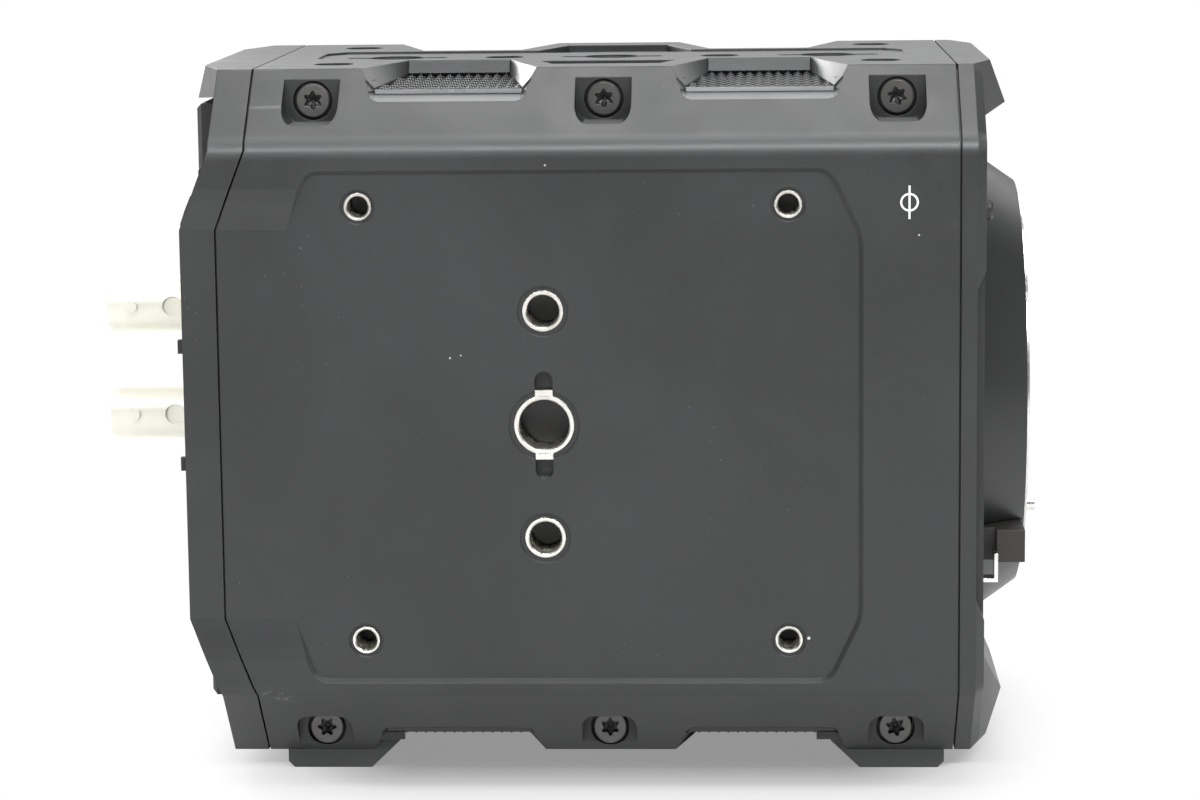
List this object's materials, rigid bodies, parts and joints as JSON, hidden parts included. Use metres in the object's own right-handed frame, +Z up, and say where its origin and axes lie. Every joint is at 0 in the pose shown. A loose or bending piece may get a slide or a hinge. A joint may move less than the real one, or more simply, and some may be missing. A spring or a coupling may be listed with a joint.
{
  "type": "box-style cinema camera body",
  "caption": "Box-style cinema camera body with slanted corners, a lens bayonet in front, threaded side and top faces, vents, and a battery bay with sockets behind.",
  "frame": {"origin": "middle of the overall length and width, at the soles of the feet", "axes": "+X the way the lens looks, +Z up, -Y the camera's right side, which carries the side mounting face"},
  "size_m": [0.1568, 0.095, 0.1136],
  "materials": {
    "body_paint": "satin",
    "plate_paint": "satin",
    "rear_plastic": "matt",
    "black_plastic": "matt",
    "key_rubber": "matt",
    "record_red": "satin",
    "foot_rubber": "matt",
    "grille_black": "satin",
    "turret_paint": "satin",
    "screw_black": "black oxide",
    "insert_steel": "turned",
    "flange_steel": "turned",
    "bright_steel": "bright",
    "nickel": "nickel plated",
    "gold": "gold plated",
    "white_plastic": "matt",
    "chassis_aluminium": "machined",
    "sink_aluminium": "anodised",
    "board": "lacquered",
    "sensor_dark": "glossy",
    "clear_glass": "polished",
    "display_black": "polished"
  },
  "bodies": {
    "camera": {"chassis": "chassis_aluminium", "right_side_cover": "body_paint", "left_side_cover": "body_paint", "top_plate": "plate_paint", "bottom_plate": "body_paint", "front_cover": "body_paint", "rear_cover": "body_paint", "rear_panel": "rear_plastic", "lens_turret": "turret_paint", "bayonet_flange": "flange_steel", "flange_screws": "screw_black", "contact_block": "black_plastic", "lens_contacts": "gold", "sensor_frame": "black_plastic", "sensor_glass": "clear_glass", "image_sensor": "sensor_dark", "sensor_board": "board", "main_board": "board", "heat_sink": "sink_aluminium", "fan_housing": "black_plastic", "side_m4_inserts": "insert_steel", "side_quarter_inserts": "insert_steel", "side_three_eighths_insert": "insert_steel", "plate_quarter_inserts": "insert_steel", "plate_three_eighths_inserts": "insert_steel", "cover_screws": "screw_black", "top_vent_grilles": "grille_black", "bottom_vent_grilles": "grille_black", "feet": "foot_rubber", "sheet_metal_lug": "bright_steel", "battery_bay": "black_plastic", "battery_contacts": "gold", "video_jack_shells": "nickel", "video_jack_liners": "white_plastic", "video_jack_pins": "gold", "power_socket": "nickel", "audio_socket": "nickel", "socket_pins": "gold", "network_socket": "nickel", "data_socket": "nickel", "headphone_sockets": "black_plastic", "display_frame": "black_plastic", "display_glass": "display_black", "display_module": "black_plastic", "door_pin": "bright_steel", "card_slots": "black_plastic"},
    "fan": {"fan_rotor": "black_plastic"},
    "lens_release": {"lens_release_button": "turret_paint"},
    "lock_pin": {"lens_lock_pin": "bright_steel"},
    "front_record": {"front_record_button": "black_plastic"},
    "side_record": {"side_record_button": "record_red"},
    "key_1": {"function_key_1": "key_rubber"},
    "key_2": {"function_key_2": "key_rubber"},
    "key_3": {"function_key_3": "key_rubber"},
    "key_4": {"function_key_4": "key_rubber"},
    "key_5": {"function_key_5": "key_rubber"},
    "switch": {"power_switch": "black_plastic"},
    "door": {"media_door": "body_paint"},
    "latch": {"battery_latch": "black_plastic"}
  },
  "joints": [
    {"name": "fan_spin", "type": "hinge", "parent": "camera", "child": "fan", "pos_m": [0.03, 0, 0.0583], "axis": [1, 0, 0], "continuous": true},
    {"name": "lens_release_press", "type": "slide", "parent": "camera", "child": "lens_release", "axis": [-1, 0, 0], "range_m": [0, 0.0018], "stiffness_N_per_m": 900, "springref_m": -0.0004},
    {"name": "lock_pin_retract", "type": "slide", "parent": "camera", "child": "lock_pin", "axis": [-1, 0, 0], "range_m": [0, 0.0018], "stiffness_N_per_m": 300, "springref_m": -0.0004},
    {"name": "front_record_press", "type": "slide", "parent": "camera", "child": "front_record", "axis": [-1, 0, 0], "range_m": [0, 0.0008], "stiffness_N_per_m": 1200, "springref_m": -0.0004},
    {"name": "side_record_press", "type": "slide", "parent": "camera", "child": "side_record", "axis": [0, -1, 0], "range_m": [0, 0.0006], "stiffness_N_per_m": 1500, "springref_m": -0.0004},
    {"name": "key_1_press", "type": "slide", "parent": "camera", "child": "key_1", "axis": [0, -1, 0], "range_m": [0, 0.0006], "stiffness_N_per_m": 1500, "springref_m": -0.0004},
    {"name": "key_2_press", "type": "slide", "parent": "camera", "child": "key_2", "axis": [0, -1, 0], "range_m": [0, 0.0006], "stiffness_N_per_m": 1500, "springref_m": -0.0004},
    {"name": "key_3_press", "type": "slide", "parent": "camera", "child": "key_3", "axis": [0, -1, 0], "range_m": [0, 0.0006], "stiffness_N_per_m": 1500, "springref_m": -0.0004},
    {"name": "key_4_press", "type": "slide", "parent": "camera", "child": "key_4", "axis": [0, -1, 0], "range_m": [0, 0.0006], "stiffness_N_per_m": 1500, "springref_m": -0.0004},
    {"name": "key_5_press", "type": "slide", "parent": "camera", "child": "key_5", "axis": [0, -1, 0], "range_m": [0, 0.0006], "stiffness_N_per_m": 1500, "springref_m": -0.0004},
    {"name": "power_slide", "type": "slide", "parent": "camera", "child": "switch", "axis": [0, 0, 1], "range_m": [0, 0.004]},
    {"name": "media_door_swing", "type": "hinge", "parent": "camera", "child": "door", "pos_m": [-0.0466, 0.0465, 0.07], "axis": [0, 0, 1], "range_deg": [0, 95]},
    {"name": "battery_latch_lift", "type": "slide", "parent": "camera", "child": "latch", "axis": [0, 0, 1], "range_m": [0, 0.0016], "stiffness_N_per_m": 500, "springref_m": -0.0004}
  ],
  "couplings": [
    {"joint": "lock_pin_retract", "follows": "lens_release_press", "ratio": 1}
  ]
}
